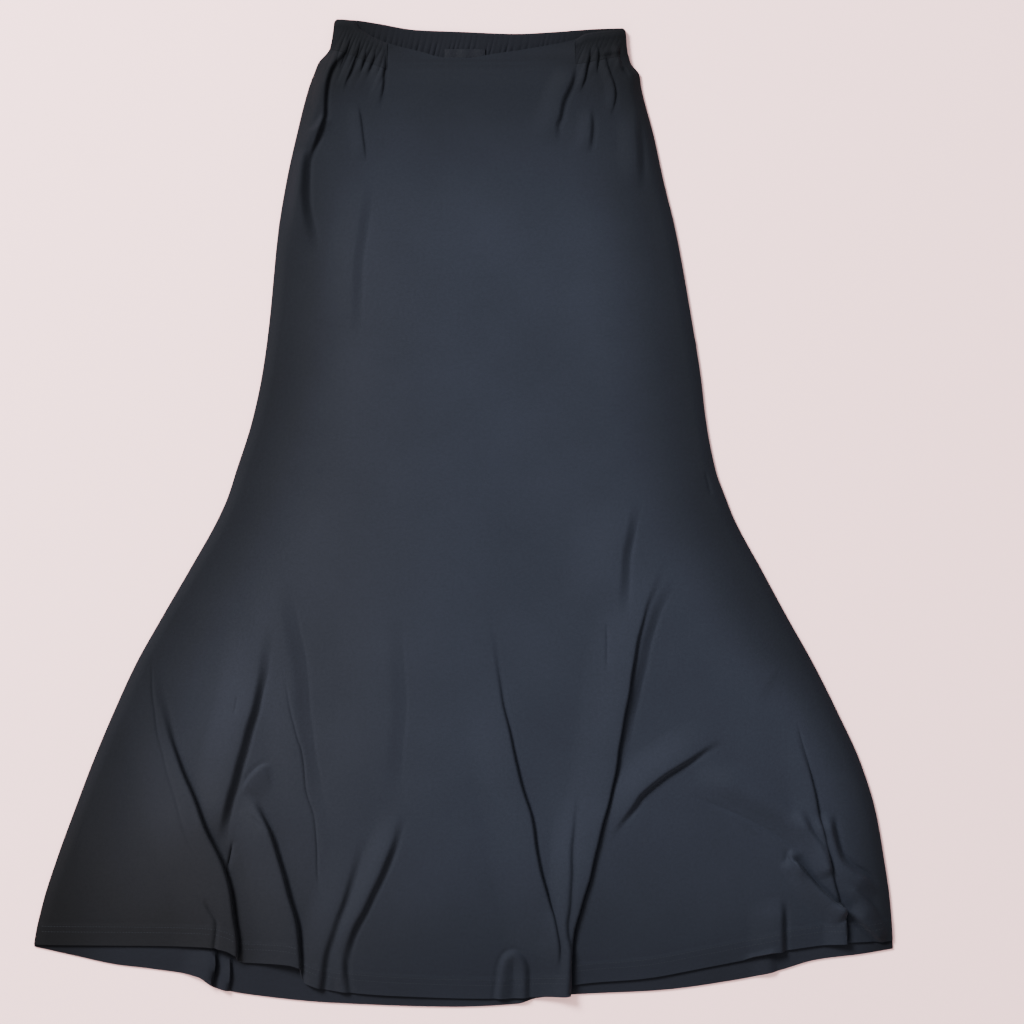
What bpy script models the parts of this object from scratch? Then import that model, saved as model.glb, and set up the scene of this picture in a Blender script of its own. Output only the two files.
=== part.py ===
# Long trumpet skirt in black stretch crepe, laid flat with its front up.
# X runs to the right, Y towards the waist and Z up from the surface that the skirt lies on.
# Lengths in the tables are millimetres: "down" is measured from the highest point of the waist,
# and "x" from the middle of the skirt.

from collections import namedtuple
import math

import bpy
import bmesh
import numpy as np

MM = 0.001
LENGTH = 1026.0  # highest point of the waist to the lowest point of the back hem
MIDDLE_DOWN = LENGTH / 2

CLOTH = 1.4  # wall of the crepe panels
SEAM_GAP = 0.35
CASING_SIDE_GAP = 1.8  # between the free waist edge and the ends of the front casings
CASING_END_GAP = 0.8
CASING_FOOT_GAP = 0.8

BACK_CASING = 3.0  # two layers of crepe with elastic between them
BACK_PUCKER = 0.9
BACK_PITCH = 8.0  # from one pucker to the next
CASING_DEEP = 30.0
FRONT_CASING = 2.4
FRONT_PUCKER = 1.3
FRONT_PITCH = 7.5
FURROW_TOP = 0.55  # share of a front pucker's depth that is left at the waist edge
SEAM_PUCKER = 0.4  # and beside a side seam
WANDERS = ((0.35, 19.0, 0.0), (0.22, 7.7, 1.0))  # pitches, wave length and start of the unevenness
CASING_REST = 0.6  # air between the front and the back casing
CASING_LOFT = 1.6  # how much higher a front casing lies away from its side seam
CASING_END = 48.0  # below this the front comes down from the casing to the back panel
CASING_STEP = 14.0

SIDE_ROLL = 15.0  # width over which the front turns down into a side seam
ROLL_POWER = 2.4
HEM_DROP = 30.0  # width over which the front comes down towards its hem
HEM_LOFT = 0.45  # share of the loft that is left at the hem
UPRIGHT_TO = 58.0  # the grid's columns stand upright down to here
UPRIGHT_SHARE = 0.18
TOP_FADE = 8  # the grid's rows follow the waist edge near it and the hem below

FRONT_GRID = (460, 300)
BACK_GRID = (220, 200)
BACK_CASING_GRID = (130, 2)
FRONT_CASING_GRID = (34, 4)
FRONT_FACES = 0.0185  # share of the grid's faces that stays
BACK_FACES = 0.006

LABEL_WIDTH = 42.0
LABEL_HEIGHT = 22.0
LABEL_THICK = 0.8
LABEL_X = 1.5
LABEL_TOP = 31.0

Section = namedtuple("Section", "down left right loft")
Edge = namedtuple("Edge", "x down")
# reach_top and reach_end are the widths of the gentle side; steep is the width of the side that drops,
# 0 for an even ridge; side +1 drops towards +x; height below 0 is a groove; lean pushes the crest over
# the drop, as a share of the height; fade_in and fade_out are shares of the path.
Fold = namedtuple("Fold", "name side reach_top reach_end steep height lean fade_in fade_out path")

SECTIONS = (
    Section(0, -134, 164, 2.0),
    Section(10, -135, 168, 2.0),
    Section(32, -139, 170, 2.6),
    Section(46, -150, 172, 3.4),
    Section(58, -155, 177, 4.4),
    Section(71, -160, 182, 5.0),
    Section(121, -173, 197, 4.2),
    Section(171, -184, 208, 3.4),
    Section(220, -192, 220, 3.0),
    Section(320, -202, 238, 2.6),
    Section(370, -209, 246, 2.6),
    Section(420, -220, 252, 2.6),
    Section(470, -236, 262, 2.6),
    Section(495, -244, 271, 2.8),
    Section(520, -255, 281, 2.8),
    Section(570, -283, 308, 3.0),
    Section(620, -312, 335, 3.2),
    Section(670, -340, 363, 3.4),
    Section(720, -363, 388, 3.4),
    Section(770, -384, 411, 3.4),
    Section(820, -403, 427, 3.2),
    Section(869, -421, 436, 3.0),
    Section(919, -437, 443, 2.6),
    Section(961, -446, 446, 2.2),
    Section(1026, -452, 449, 2.0),
)

FRONT_WAIST = (
    Edge(-134, 0), Edge(-115, 2), Edge(-108, 10), Edge(-80, 25), Edge(-46, 34),
    Edge(-20, 40.5), Edge(4, 41), Edge(30, 37), Edge(57, 33), Edge(86, 28),
    Edge(117, 21), Edge(128, 15), Edge(170, 10),
)
FRONT_HEM = (
    Edge(-452, 961), Edge(-272, 963), Edge(-254, 966), Edge(-240, 974), Edge(-232, 979),
    Edge(-190, 981), Edge(-176, 985), Edge(-166, 1000), Edge(-140, 1008), Edge(-73, 1014),
    Edge(20, 1017), Edge(104, 1013), Edge(114, 1003), Edge(189, 996), Edge(250, 985),
    Edge(305, 974), Edge(340, 966), Edge(400, 959), Edge(449, 957),
)
BACK_WAIST = (
    Edge(-134, 0), Edge(-112, 1), Edge(-91, 4), Edge(-49, 11), Edge(0, 13),
    Edge(55, 15), Edge(96, 13), Edge(138, 10), Edge(170, 9),
)
BACK_HEM = (
    Edge(-452, 962), Edge(-403, 973), Edge(-361, 982), Edge(-320, 987), Edge(-278, 994),
    Edge(-262, 1005), Edge(-216, 1014), Edge(-133, 1022), Edge(-8, 1026), Edge(55, 1023),
    Edge(76, 1017), Edge(117, 1013), Edge(200, 1009), Edge(283, 998), Edge(325, 989),
    Edge(367, 977), Edge(414, 971), Edge(449, 965),
)

LEFT_CASING_IN = -79.0  # x where the left front casing ends at the plain centre
RIGHT_CASING_IN = 116.0
LEFT_CASING_FOOT = (Edge(-150, 31), Edge(-139, 32), Edge(-79, 54))
RIGHT_CASING_FOOT = (Edge(116, 48), Edge(170, 38), Edge(174, 37))

FOLDS = (
    Fold("left_lap", 1, 36, 60, 6, 9.5, 1.0, 0.45, 0,
         ((-318, 660), (-309, 710), (-298, 754), (-272, 828), (-247, 888), (-239, 945),
          (-237, 1000))),
    Fold("left_valley", 1, 38, 34, 9, 6.5, 0.4, 0.45, 0.35,
         ((-199, 626), (-208, 672), (-216, 708), (-227, 752), (-237, 796), (-243, 828),
          (-246, 860), (-247, 895))),
    Fold("left_pinch", 1, 12, 12, 5, 2.6, 0.2, 0.3, 0.35,
         ((-233, 806), (-227, 793), (-219, 782), (-209, 774), (-196, 771))),
    Fold("second_lap", 1, 22, 46, 6, 9, 1.0, 0.25, 0,
         ((-224, 795), (-212, 812), (-204, 832), (-194, 862), (-182, 905), (-172, 955),
          (-169, 1012))),
    Fold("left_groove", 1, 30, 30, 12, 3.2, 0.1, 0.3, 0.4,
         ((-187, 567), (-172, 628), (-163, 682), (-157, 749), (-147, 802), (-137, 863))),
    Fold("tongue_left", 1, 30, 30, 9, 5.2, 0.3, 0.5, 0,
         ((-105, 856), (-117, 893), (-131, 933), (-143, 976), (-149, 1020))),
    Fold("tongue_right", 1, 24, 16, 9, 6.0, 0.4, 0.4, 0,
         ((-62, 828), (-74, 860), (-88, 893), (-104, 925), (-116, 953), (-121, 1020))),
    Fold("centre_crease", 1, 38, 54, 7, 6.6, 0.8, 0.5, 0.1,
         ((21, 603), (37, 682), (57, 768), (78, 854), (93, 924), (97, 965), (96, 1000))),
    Fold("hem_pleat", 1, 11, 12, 5, 7.0, 0.5, 0.22, 0,
         ((60, 958), (66, 985), (66, 1030))),
    Fold("hem_fold", 1, 6, 6, 0, -3.0, 0, 0.3, 0,
         ((46, 964), (44, 985), (44, 1030))),
    Fold("right_groove", 1, 24, 16, 9, 3.6, 0.2, 0.4, 0,
         ((123, 783), (113, 865), (106, 920), (99, 970), (98, 1010))),
    Fold("right_lap", 1, 48, 30, 6, 10, 1.0, 0.35, 0,
         ((217, 551), (206, 580), (192, 614), (174, 682), (159, 786), (134, 884), (114, 954),
          (110, 1012))),
    Fold("knee_crease", 1, 36, 40, 10, 3.8, 0.15, 0.4, 0.35,
         ((184, 496), (175, 543), (170, 584), (166, 625))),
    Fold("curved_lap", 1, 34, 34, 9, 7.0, 0.35, 0.4, 0.4,
         ((277, 747), (246, 764), (213, 786), (192, 804), (184, 816), (168, 838), (155, 858))),
    Fold("curved_ridge", -1, 34, 20, 15, 5.0, 0.2, 0.3, 0.2,
         ((230, 802), (273, 818), (309, 836), (345, 858), (363, 872))),
    Fold("corner_line", 1, 26, 24, 6, 3.6, 0.4, 0.45, 0.1,
         ((345, 725), (355, 765), (365, 800), (377, 865), (396, 930))),
    Fold("corner_crease", 1, 18, 14, 6, 3.6, 0.3, 0.35, 0.2,
         ((350, 815), (362, 842), (374, 865), (383, 890))),
    Fold("corner_bend", 1, 20, 26, 8, 5.4, 0.3, 0.3, 0.15,
         ((384, 820), (388, 848), (394, 868), (406, 880), (420, 888), (438, 903))),
    Fold("corner_under", -1, 16, 12, 7, 5.0, 0.3, 0.2, 0.1,
         ((397, 928), (408, 936), (420, 948), (438, 966))),
    Fold("corner_flap", 1, 14, 18, 7, 6.0, 0.4, 0.15, 0.1,
         ((340, 866), (352, 881), (366, 898), (382, 914), (397, 927))),
    Fold("corner_nub", -1, 12, 14, 7, 4.2, 0.3, 0.2, 0.25,
         ((334, 858), (336, 880), (345, 900), (362, 916), (380, 930))),
    Fold("corner_pleat", 1, 34, 34, 8, 4.4, 0.3, 0.35, 0,
         ((334, 908), (335, 932), (334, 985))),
    Fold("corner_end", 1, 16, 20, 6, 4.2, 0.4, 0.3, 0,
         ((392, 912), (395, 935), (396, 970))),
    Fold("centre_swell", 1, 60, 60, 16, 1.6, 0, 0.35, 0.35,
         ((-68, 600), (-62, 680), (-62, 734), (-70, 830))),
    Fold("hip_swell", 1, 30, 34, 10, 1.5, 0, 0.3, 0.4,
         ((-94, 165), (-100, 214), (-106, 267), (-109, 345))),
    Fold("waist_groove", 1, 16, 18, 8, 5.4, 0.4, 0.35, 0.2,
         ((-118, 30), (-129, 44), (-137, 56), (-141, 81), (-143, 106), (-153, 130), (-159, 150))),
    Fold("side_fall", 1, 20, 26, 10, 3.6, 0.1, 0.2, 0.55,
         ((-158, 134), (-161, 157), (-160, 196), (-155, 222), (-149, 246))),
    Fold("gather_a", 1, 4, 6, 0, -3.4, 0, 0, 0.5, ((-103, 34), (-112, 60), (-119, 84))),
    Fold("gather_b", 1, 4, 5, 0, -3.0, 0, 0, 0.5, ((-92, 38), (-98, 58), (-104, 76))),
    Fold("gather_c", 1, 5, 7, 0, -3.6, 0, 0, 0.4, ((-82, 42), (-81, 66), (-82, 94))),
    Fold("gather_d", 1, 4, 5, 0, -2.4, 0, 0.3, 0.5, ((-108, 86), (-105, 112), (-99, 150))),
    Fold("gather_e", 1, 14, 18, 8, 5.2, 0.3, 0.4, 0.4,
         ((120, 46), (115, 58), (108, 76), (101, 92), (97, 118), (97, 150))),
    Fold("gather_f", 1, 4, 6, 0, -3.6, 0, 0, 0.4, ((133, 32), (127, 55), (119, 80))),
    Fold("gather_g", 1, 4, 5, 0, -3.2, 0, 0, 0.5, ((142, 30), (143, 54), (141, 70))),
    Fold("gather_h", 1, 4, 7, 0, -3.6, 0, 0, 0.4, ((152, 28), (155, 66), (159, 98))),
    Fold("gather_i", 1, 14, 16, 6, 2.6, 0.2, 0.3, 0.4, ((131, 88), (135, 112), (136, 150))),
    Fold("gather_j", 1, 4, 5, 0, -2.8, 0, 0, 0.5, ((162, 26), (166, 50), (171, 66))),
    Fold("side_groove", 1, 20, 22, 8, 2.4, 0, 0.4, 0.4, ((184, 84), (186, 130), (187, 184))),
)
BACK_FOLDS = (
    Fold("back_wave_a", 1, 26, 30, 7, 5.5, 0.3, 0.5, 0, ((-252, 955), (-257, 975), (-264, 1020))),
    Fold("back_wave_b", 1, 9, 10, 6, 4.0, 0.3, 0.5, 0, ((-239, 965), (-241, 983), (-245, 1024))),
    Fold("back_wave_c", 1, 10, 12, 0, 2.0, 0, 0.6, 0, ((60, 1012), (64, 1030))),
)

PATH_STEPS = 5  # straight pieces between two points of a fold's path
EDGE_STEPS = 8  # tries that bring a column's foot and head onto the cloth's edges
LEFT_SLANT = 0.35  # lean of the puckers: mm across for each mm down
RIGHT_SLANT = 0.1

Part = namedtuple("Part", "name color roughness")
FRONT = Part("front_panel", (0.022, 0.026, 0.036), 0.78)
BACK = Part("back_panel", (0.020, 0.023, 0.032), 0.80)
BACK_BAND = Part("back_waist_casing", (0.017, 0.019, 0.026), 0.82)
LEFT_BAND = Part("front_casing_left", (0.020, 0.023, 0.031), 0.80)
RIGHT_BAND = Part("front_casing_right", (0.020, 0.023, 0.031), 0.80)
LABEL = Part("label", (0.030, 0.036, 0.075), 0.55)


def smooth(share):
    share = np.clip(share, 0.0, 1.0)
    return share * share * (3 - 2 * share)


def through(rows, key, value, at):
    """A smooth curve through a table's rows that never swings past them."""
    keys = np.array([getattr(row, key) for row in rows], float)
    values = np.array([getattr(row, value) for row in rows], float)
    steps = np.diff(keys)
    slopes = np.diff(values) / steps
    tangents = np.zeros(len(keys))
    tangents[0], tangents[-1] = slopes[0], slopes[-1]
    same_way = slopes[1:] * slopes[:-1] > 0
    total = np.where(same_way, slopes[1:] + slopes[:-1], 1.0)
    tangents[1:-1] = np.where(same_way, 2 * slopes[1:] * slopes[:-1] / total, 0.0)
    at = np.clip(at, keys[0], keys[-1])
    row = np.clip(np.searchsorted(keys, at) - 1, 0, len(steps) - 1)
    t = (at - keys[row]) / steps[row]
    rise = steps[row]
    return (
        values[row] * (1 + 2 * t) * (1 - t) ** 2
        + values[row + 1] * t * t * (3 - 2 * t)
        + tangents[row] * rise * t * (1 - t) ** 2
        + tangents[row + 1] * rise * t * t * (t - 1)
    )


def side(down, which):
    return through(SECTIONS, "down", which, down)


def rounded_path(path):
    """Points on a smooth curve through a fold's own points."""
    points = [np.array(point, float) for point in path]
    points = [2 * points[0] - points[1]] + points + [2 * points[-1] - points[-2]]
    found = []
    for before, here, after, last in zip(points, points[1:], points[2:], points[3:]):
        for step in range(PATH_STEPS):
            t = step / PATH_STEPS
            found.append(
                0.5 * (2 * here + (after - before) * t
                       + (2 * before - 5 * here + 4 * after - last) * t ** 2
                       + (3 * here - before - 3 * after + last) * t ** 3)
            )
    found.append(points[-2])
    return np.array(found)


def beside(path, x, down):
    """Distance from the path, plus towards +x on a path that runs down, the share of the
    path there, and the direction across it."""
    points = rounded_path(path)
    lengths = np.hypot(*np.diff(points, axis=0).T)
    starts = np.concatenate([[0], np.cumsum(lengths)])
    nearest = np.full(x.shape, np.inf)
    away, share = np.zeros(x.shape), np.zeros(x.shape)
    cross = np.zeros((2,) + x.shape)
    for start, stop, length, before in zip(points, points[1:], lengths, starts):
        along_x, along_down = (stop - start) / length
        reach = np.clip((x - start[0]) * along_x + (down - start[1]) * along_down, 0, length)
        off_x = x - start[0] - reach * along_x
        off_down = down - start[1] - reach * along_down
        distance = np.hypot(off_x, off_down)
        closer = distance < nearest
        sign = np.where(along_down * off_x - along_x * off_down < 0, -1.0, 1.0)
        nearest = np.where(closer, distance, nearest)
        away = np.where(closer, sign * distance, away)
        share = np.where(closer, (before + reach) / starts[-1], share)
        cross[0] = np.where(closer, along_down, cross[0])
        cross[1] = np.where(closer, -along_x, cross[1])
    return away, share, cross


def folded(folds, x, down):
    """How much the folds lift the cloth, and how far they push it along x and down."""
    lift, push_x, push_down = np.zeros(x.shape), np.zeros(x.shape), np.zeros(x.shape)
    for fold in folds:
        reach = max(fold.reach_top, fold.reach_end) + fold.steep
        lows = np.min(fold.path, axis=0) - reach
        highs = np.max(fold.path, axis=0) + reach
        near = (x > lows[0]) & (x < highs[0]) & (down > lows[1]) & (down < highs[1])
        if not near.any():
            continue
        away, share, cross = beside(fold.path, x[near], down[near])
        away = away * fold.side
        width = fold.reach_top + (fold.reach_end - fold.reach_top) * share
        if fold.steep:
            form = np.where(
                away > -fold.steep,
                smooth(-away / fold.steep),
                1 - smooth((-away - fold.steep) / width),
            )
        else:
            form = 1 - smooth(np.abs(away) / width)
        if fold.fade_in:
            form = form * smooth(share / fold.fade_in)
        if fold.fade_out:
            form = form * smooth((1 - share) / fold.fade_out)
        lift[near] += fold.height * form
        push = fold.side * fold.lean * fold.height * form ** 2
        push_x[near] += push * cross[0]
        push_down[near] += push * cross[1]
    return lift, push_x, push_down


def puckers(x, pitch):
    """Uneven gathers of an elastic casing, from 0 in a furrow to 1 on a crest."""
    wander = sum(pitches * np.sin(x / wave + start) for pitches, wave, start in WANDERS)
    return 0.5 + 0.5 * np.sin(2 * math.pi * (x / pitch + wander))


def grid_object(part, cells):
    """A flat grid, with u across it and v down it from 0 to 1 for each point."""
    columns, rows = cells
    bpy.ops.mesh.primitive_grid_add(x_subdivisions=columns, y_subdivisions=rows, size=1)
    thing = bpy.context.active_object
    thing.name = part.name
    thing.data.name = part.name
    flat = np.empty(len(thing.data.vertices) * 3, np.float32)
    thing.data.vertices.foreach_get("co", flat)
    flat = flat.reshape(-1, 3).astype(float)
    return thing, flat[:, 0] + 0.5, 0.5 - flat[:, 1]


def place(thing, x, down, z):
    points = np.stack([x, MIDDLE_DOWN - down, z], axis=1) * MM
    thing.data.vertices.foreach_set("co", points.astype(np.float32).ravel())
    thing.data.update()


def fewer_faces(thing, share, kept=None):
    """Leaves few faces where the cloth is plain; the points in kept stay."""
    modifier = thing.modifiers.new("fewer faces", "DECIMATE")
    modifier.ratio = share
    if kept is not None:
        group = thing.vertex_groups.new(name="kept")
        group.add([int(index) for index in np.flatnonzero(kept)], 1.0, "REPLACE")
        modifier.vertex_group = group.name
        modifier.invert_vertex_group = True


def thicken(thing, thickness):
    modifier = thing.modifiers.new("cloth", "SOLIDIFY")
    modifier.thickness = thickness * MM
    modifier.offset = 1.0
    modifier.use_even_offset = False


def finish(thing, part):
    material = bpy.data.materials.new(part.name)
    material.use_nodes = True
    shader = material.node_tree.nodes["Principled BSDF"]
    shader.inputs["Base Color"].default_value = (*part.color, 1.0)
    shader.inputs["Roughness"].default_value = part.roughness
    shader.inputs["Metallic"].default_value = 0.0
    thing.data.materials.clear()
    thing.data.materials.append(material)
    thing.data.shade_smooth()
    for collection in list(thing.users_collection):
        collection.objects.unlink(thing)
    skirt.objects.link(thing)


def across(u, down):
    """x of a column: straight down past the casings, where only the sides follow the outline."""
    below = np.maximum(down, UPRIGHT_TO)
    left, right = side(below, "left"), side(below, "right")
    near_left = 1 - smooth(u / UPRIGHT_SHARE)
    near_right = 1 - smooth((1 - u) / UPRIGHT_SHARE)
    x = left * (1 - u) + right * u
    return x + (side(down, "left") - left) * near_left + (side(down, "right") - right) * near_right


def down_edge(u, edge):
    """Where a column of the grid meets an edge given as down for each x."""
    down = np.full(u.shape, CASING_END)
    for _ in range(EDGE_STEPS):
        down = edge(across(u, down))
    return down


def rolled(from_side):
    """0 on a side seam and 1 where the cloth lies level, with a round shoulder between."""
    return 1 - (1 - np.clip(from_side / SIDE_ROLL, 0, 1)) ** ROLL_POWER


def panel_points(u, v, top_edge, hem_rows):
    """x and down of a panel between its two sides, its top edge and its hem."""
    hem = down_edge(u, lambda x: through(hem_rows, "x", "down", x))
    top = down_edge(u, top_edge)
    start = float(top.min())
    down = start + (hem - start) * v + (top - start) * (1 - v) ** TOP_FADE
    return across(u, down), down, hem


def front_top(x):
    """The front's top edge: under the two casings, and the free dipped edge between them."""
    free = through(FRONT_WAIST, "x", "down", x)
    left = through(LEFT_CASING_FOOT, "x", "down", x) + CASING_FOOT_GAP
    right = through(RIGHT_CASING_FOOT, "x", "down", x) + CASING_FOOT_GAP
    free = np.where(x < LEFT_CASING_IN + CASING_SIDE_GAP, left, free)
    return np.where(x > RIGHT_CASING_IN - CASING_SIDE_GAP, right, free)


def front_rest(down):
    """Height of the front's inner face where it meets the back along a side seam."""
    above = 1 - smooth((down - CASING_END) / CASING_STEP)
    return CLOTH + SEAM_GAP + (BACK_CASING - CLOTH) * above


def front_points(u, v):
    x, down, hem = panel_points(u, v, front_top, FRONT_HEM)
    left, right = side(down, "left"), side(down, "right")
    from_side = np.minimum(x - left, right - x)
    at_hem = HEM_LOFT + (1 - HEM_LOFT) * smooth((hem - down) / HEM_DROP)
    lift, push_x, push_down = folded(FOLDS, x, down)
    held = smooth(from_side / SIDE_ROLL)
    z = np.maximum(side(down, "loft") * rolled(from_side) * at_hem + lift * held, 0.0)
    return x + push_x * held, down + push_down * held, front_rest(down) + z


def make_front():
    thing, u, v = grid_object(FRONT, FRONT_GRID)
    x, down, z = front_points(u, v)
    place(thing, x, down, z)
    at_top = v < 0.5 / FRONT_GRID[1]
    at_casing = (x < LEFT_CASING_IN + CASING_SIDE_GAP) | (x > RIGHT_CASING_IN - CASING_SIDE_GAP)
    fewer_faces(thing, FRONT_FACES, at_top & at_casing)
    thicken(thing, CLOTH)
    finish(thing, FRONT)


def back_waist(x):
    return through(BACK_WAIST, "x", "down", x)


def back_top(x):
    return back_waist(x) + CASING_DEEP + SEAM_GAP


def make_back():
    thing, u, v = grid_object(BACK, BACK_GRID)
    x, down, _ = panel_points(u, v, back_top, BACK_HEM)
    lift, push_x, push_down = folded(BACK_FOLDS, x, down)
    place(thing, x + push_x, down + push_down, lift)
    fewer_faces(thing, BACK_FACES)
    thicken(thing, CLOTH)
    finish(thing, BACK)


def casing_points(u, v, start, stop, top, foot):
    """x and down of a casing from start to stop, or to a side seam where that is None."""
    down = np.full(u.shape, CASING_DEEP)
    for _ in range(EDGE_STEPS):
        left = side(down, "left") if start is None else start
        right = side(down, "right") if stop is None else stop
        x = left * (1 - u) + right * u
        down = top(x) * (1 - v) + foot(x) * v
    return x, down


def make_back_casing():
    """Flat below where it rests, puckered on top."""
    thing, u, v = grid_object(BACK_BAND, BACK_CASING_GRID)
    x, down = casing_points(u, v, None, None, back_waist, lambda x: back_waist(x) + CASING_DEEP)
    place(thing, x, down, BACK_CASING - BACK_PUCKER * puckers(x, BACK_PITCH))
    shape = bmesh.new()
    shape.from_mesh(thing.data)
    walls = bmesh.ops.extrude_face_region(shape, geom=shape.faces[:])
    for corner in walls["geom"]:
        if isinstance(corner, bmesh.types.BMVert):
            corner.co.z = 0.0
    bmesh.ops.recalc_face_normals(shape, faces=shape.faces[:])
    shape.to_mesh(thing.data)
    shape.free()
    finish(thing, BACK_BAND)


def make_front_casing(part, start, stop, foot_rows, slant):
    """Puckers that lean by slant across for each unit down, and deepen towards the foot."""
    thing, u, v = grid_object(part, FRONT_CASING_GRID)
    x, down = casing_points(
        u, v, start, stop,
        lambda x: through(FRONT_WAIST, "x", "down", x),
        lambda x: through(foot_rows, "x", "down", x),
    )
    level = rolled(np.minimum(x - side(down, "left"), side(down, "right") - x))
    depth = (FURROW_TOP + (1 - FURROW_TOP) * v) * np.maximum(level, SEAM_PUCKER)
    crests = puckers(x + slant * down, FRONT_PITCH) * depth
    z = BACK_CASING + CASING_REST + CASING_LOFT * level + FRONT_PUCKER * crests
    place(thing, x, down, z)
    thicken(thing, FRONT_CASING)
    finish(thing, part)


def make_label():
    bpy.ops.mesh.primitive_cube_add(size=1)
    thing = bpy.context.active_object
    thing.name = LABEL.name
    thing.data.name = LABEL.name
    low = BACK_CASING + SEAM_GAP
    for corner in thing.data.vertices:
        corner.co.x = (LABEL_X + corner.co.x * LABEL_WIDTH) * MM
        corner.co.y = (MIDDLE_DOWN - LABEL_TOP - (0.5 - corner.co.y) * LABEL_HEIGHT) * MM
        corner.co.z = (low + (corner.co.z + 0.5) * LABEL_THICK) * MM
    finish(thing, LABEL)
    thing.data.shade_flat()


for old in list(bpy.data.objects):
    bpy.data.objects.remove(old, do_unlink=True)
skirt = bpy.data.collections.new("skirt")
bpy.context.scene.collection.children.link(skirt)

make_back()
make_back_casing()
make_label()
make_front()
make_front_casing(LEFT_BAND, None, LEFT_CASING_IN - CASING_END_GAP, LEFT_CASING_FOOT, LEFT_SLANT)
make_front_casing(RIGHT_BAND, RIGHT_CASING_IN + CASING_END_GAP, None, RIGHT_CASING_FOOT, RIGHT_SLANT)
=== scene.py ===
import math
from collections import namedtuple

import bpy
import numpy as np
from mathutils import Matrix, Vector


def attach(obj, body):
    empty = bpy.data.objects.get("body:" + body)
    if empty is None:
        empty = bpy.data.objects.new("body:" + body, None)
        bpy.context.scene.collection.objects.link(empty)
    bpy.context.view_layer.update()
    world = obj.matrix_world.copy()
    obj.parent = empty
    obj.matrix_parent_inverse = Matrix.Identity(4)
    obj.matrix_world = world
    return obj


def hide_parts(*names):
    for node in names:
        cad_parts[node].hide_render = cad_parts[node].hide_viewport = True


# A long trumpet skirt in black stretch crepe, laid flat with its front up.
# x runs to the right, y towards the waist, z up. The tables are in millimetres:
# "down" is measured from the highest point of the waist, "x" from the middle.

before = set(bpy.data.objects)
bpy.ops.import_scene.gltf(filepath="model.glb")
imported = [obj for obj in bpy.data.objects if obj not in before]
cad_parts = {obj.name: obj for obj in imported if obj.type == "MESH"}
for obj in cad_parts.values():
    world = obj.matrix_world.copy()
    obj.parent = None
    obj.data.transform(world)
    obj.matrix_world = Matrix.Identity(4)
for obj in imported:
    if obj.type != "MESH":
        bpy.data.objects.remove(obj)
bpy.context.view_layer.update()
print("frame loaded:", len(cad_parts), "nodes")

mm = 0.001
middleDown = 513.0  # half of the skirt's length, where the frame has its zero

sectionRow = namedtuple("sectionRow", "down left right loft")
edgeRow = namedtuple("edgeRow", "x down")
# side +1 drops towards +x; reach is the gentle side's width at the path's start and end;
# steep is the width of the side that drops, 0 for an even ridge, below 0 height is a groove;
# lean pushes the crest over the drop, as a share of the height
foldRow = namedtuple("foldRow", "name side reachTop reachEnd steep height lean fadeIn fadeOut path")

sections = [sectionRow(*row) for row in (
    (0, -134, 164, 2.0), (10, -135, 168, 2.0), (32, -139, 170, 2.6), (46, -150, 173, 3.4),
    (58, -155, 182, 4.4), (71, -160, 184, 5.0), (121, -173, 197, 4.2), (171, -184, 208, 3.4),
    (220, -192, 220, 3.0), (320, -202, 238, 2.6), (370, -209, 246, 2.6), (420, -220, 252, 2.6),
    (470, -236, 262, 2.6), (495, -244, 271, 2.8), (520, -255, 281, 2.8), (570, -283, 308, 3.0),
    (620, -312, 335, 3.2), (670, -340, 363, 3.4), (720, -363, 388, 3.4), (770, -384, 411, 3.4),
    (820, -403, 427, 3.2), (869, -421, 436, 3.0), (919, -437, 443, 2.6), (961, -446, 446, 2.2),
    (1026, -452, 449, 2.0),
)]
frontWaist = [edgeRow(*row) for row in (
    (-134, 0), (-115, 2), (-108, 10), (-80, 25), (-46, 34), (-20, 40.5), (4, 41), (30, 37),
    (57, 33), (86, 28), (117, 21), (128, 15), (170, 10),
)]
frontHem = [edgeRow(*row) for row in (
    (-452, 961), (-272, 963), (-254, 966), (-240, 974), (-232, 979), (-190, 981), (-176, 985),
    (-166, 1000), (-140, 1008), (-73, 1014), (20, 1017), (104, 1013), (114, 1003), (189, 996),
    (250, 985), (305, 974), (340, 966), (400, 959), (449, 957),
)]
backWaist = [edgeRow(*row) for row in (
    (-134, 0), (-112, 1), (-91, 4), (-49, 11), (0, 13), (55, 15), (96, 13), (138, 10), (170, 9),
)]
backHem = [edgeRow(*row) for row in (
    (-452, 962), (-403, 973), (-361, 982), (-320, 987), (-278, 994), (-262, 1005), (-216, 1014),
    (-133, 1022), (-8, 1026), (55, 1023), (76, 1017), (117, 1013), (200, 1009), (283, 998),
    (325, 989), (367, 977), (414, 971), (449, 965),
)]
leftFoot = [edgeRow(*row) for row in ((-150, 31), (-139, 32), (-79, 54))]
rightFoot = [edgeRow(*row) for row in ((116, 48), (170, 38), (174, 37))]

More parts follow.
